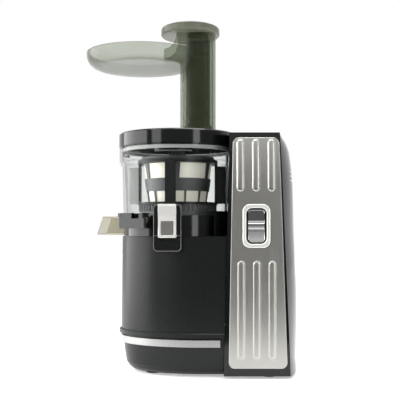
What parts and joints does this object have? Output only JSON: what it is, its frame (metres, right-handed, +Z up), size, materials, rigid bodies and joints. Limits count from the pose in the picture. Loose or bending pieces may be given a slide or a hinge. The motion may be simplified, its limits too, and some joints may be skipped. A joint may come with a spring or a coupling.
{
  "type": "slow juicer",
  "caption": "Vertical single-auger slow juicer: rounded base with a side column, clear bowl, twist-on lid with a round tray, feed tube and pusher, side latches and a hinged juice gate.",
  "frame": {"origin": "on the table plane at the centre of the footprint box", "axes": "+Z up, -Y towards the user who faces the switch, +X from the juice end towards the switch column and the cord inlet"},
  "size_m": [0.2599, 0.1588, 0.4224],
  "materials": {
    "matte_black": "fine matte",
    "gloss_black": "high gloss",
    "brushed_silver": "vertical brushed",
    "silver_plastic": "satin silver",
    "bright_silver": "satin chrome",
    "chrome": "polished",
    "clear": "clear",
    "smoke": "smoky clear",
    "smoke_dark": "dark smoky clear",
    "mesh_steel": "fine perforated",
    "cream_clear": "cloudy clear",
    "silicone_grey": "translucent silicone",
    "rubber_black": "matte",
    "grey_plastic": "satin",
    "auger_grey": "satin",
    "steel": "machined",
    "copper": "enamelled wire",
    "board": "lacquered",
    "white_plastic": "moulded gear plastic",
    "cast_alloy": "as cast"
  },
  "bodies": {
    "chassis": {"base_housing": "matte_black", "base_skirt": "matte_black", "trim_strip": "silver_plastic", "base_plate": "matte_black", "rubber_feet": "rubber_black", "base_screws": "steel", "column_housing": "gloss_black", "column_cap": "gloss_black", "rear_cover": "gloss_black", "front_panel": "brushed_silver", "far_panel": "brushed_silver", "switch_frame": "bright_silver", "switch_body": "matte_black", "cord_gland": "rubber_black", "latch_seat_front": "matte_black", "latch_seat_back": "matte_black", "latch_pins": "steel", "bowl": "clear", "bowl_collar": "gloss_black", "bowl_seal": "silicone_grey", "gate_bracket": "matte_black", "gate_pin": "steel", "pulp_chute": "cream_clear", "strainer_frame": "grey_plastic", "strainer_mesh": "mesh_steel", "idler_pin": "steel", "gear_pins": "steel", "gearbox_housing": "cast_alloy", "gearbox_cover": "cast_alloy", "oil_seal": "rubber_black", "motor_stator": "steel", "motor_windings": "copper", "motor_brackets": "cast_alloy", "motor_bearings": "steel", "motor_mounts": "rubber_black", "control_board": "board", "run_capacitor": "white_plastic"},
    "switch_rocker": {"switch_rocker": "chrome"},
    "latch_front": {"latch_lever_front": "bright_silver"},
    "latch_back": {"latch_lever_back": "bright_silver"},
    "juice_gate": {"juice_gate": "gloss_black", "gate_seal": "silicone_grey"},
    "wiper": {"wiper_frame": "matte_black", "wiper_ring": "grey_plastic", "wiper_blade": "silicone_grey"},
    "idler": {"idler_gear": "white_plastic"},
    "auger_drive": {"auger": "auger_grey", "auger_gear": "steel", "drive_shaft": "steel", "output_gear": "steel"},
    "gear_high": {"gear_high": "steel"},
    "gear_low": {"gear_low": "white_plastic"},
    "motor": {"motor_rotor": "steel", "motor_shaft": "steel", "motor_fan": "white_plastic"},
    "lid_lift": {"lid_seal": "silicone_grey"},
    "lid": {"lid_ring": "gloss_black", "hopper": "smoke"},
    "pusher": {"pusher": "smoke_dark"}
  },
  "joints": [
    {"name": "auger_turn", "type": "hinge", "parent": "chassis", "child": "auger_drive", "pos_m": [-0.017, 0, 0.18], "axis": [0, 0, 1], "continuous": true},
    {"name": "gear_high_turn", "type": "hinge", "parent": "chassis", "child": "gear_high", "pos_m": [0.01825, 0, 0.135], "axis": [0, 0, 1], "continuous": true},
    {"name": "gear_low_turn", "type": "hinge", "parent": "chassis", "child": "gear_low", "pos_m": [-0.00024, 0.01828, 0.125], "axis": [0, 0, 1], "continuous": true},
    {"name": "motor_turn", "type": "hinge", "parent": "chassis", "child": "motor", "pos_m": [-0.017, 0, 0.07], "axis": [0, 0, 1], "continuous": true},
    {"name": "idler_turn", "type": "hinge", "parent": "chassis", "child": "idler", "pos_m": [0.00737, 0, 0.185], "axis": [0, 0, 1], "continuous": true},
    {"name": "wiper_turn", "type": "hinge", "parent": "chassis", "child": "wiper", "pos_m": [-0.017, 0, 0.2], "axis": [0, 0, 1], "continuous": true},
    {"name": "switch_tilt", "type": "hinge", "parent": "chassis", "child": "switch_rocker", "pos_m": [0.0758, -0.07, 0.1773], "axis": [1, 0, 0], "range_deg": [-8, 8]},
    {"name": "latch_front_swing", "type": "hinge", "parent": "chassis", "child": "latch_front", "pos_m": [-0.0273, -0.0696, 0.166], "axis": [1, 0, 0], "range_deg": [0, 32], "stiffness_Nm_per_rad": 0.12, "springref_deg": -11.46},
    {"name": "latch_back_swing", "type": "hinge", "parent": "chassis", "child": "latch_back", "pos_m": [-0.0273, 0.0696, 0.166], "axis": [-1, 0, 0], "range_deg": [0, 32], "stiffness_Nm_per_rad": 0.12, "springref_deg": -11.46},
    {"name": "gate_lift", "type": "hinge", "parent": "chassis", "child": "juice_gate", "pos_m": [-0.06367, -0.05561, 0.19], "axis": [-0.766, 0.6428, 0], "range_deg": [0, 95]},
    {"name": "lid_lift", "type": "slide", "parent": "chassis", "child": "lid_lift", "axis": [0, 0, 1], "range_m": [0, 0.12]},
    {"name": "lid_turn", "type": "hinge", "parent": "lid_lift", "child": "lid", "pos_m": [-0.017, 0, 0.28], "axis": [0, 0, 1], "range_deg": [0, 32]},
    {"name": "pusher_lift", "type": "slide", "parent": "lid", "child": "pusher", "axis": [0, 0, 1], "range_m": [0, 0.15]}
  ],
  "couplings": [
    {"joint": "gear_high_turn", "follows": "auger_turn", "ratio": -2.3571},
    {"joint": "gear_low_turn", "follows": "auger_turn", "ratio": 7.8571},
    {"joint": "motor_turn", "follows": "auger_turn", "ratio": -40.857},
    {"joint": "idler_turn", "follows": "auger_turn", "ratio": -0.56},
    {"joint": "wiper_turn", "follows": "auger_turn", "ratio": -0.21875}
  ]
}
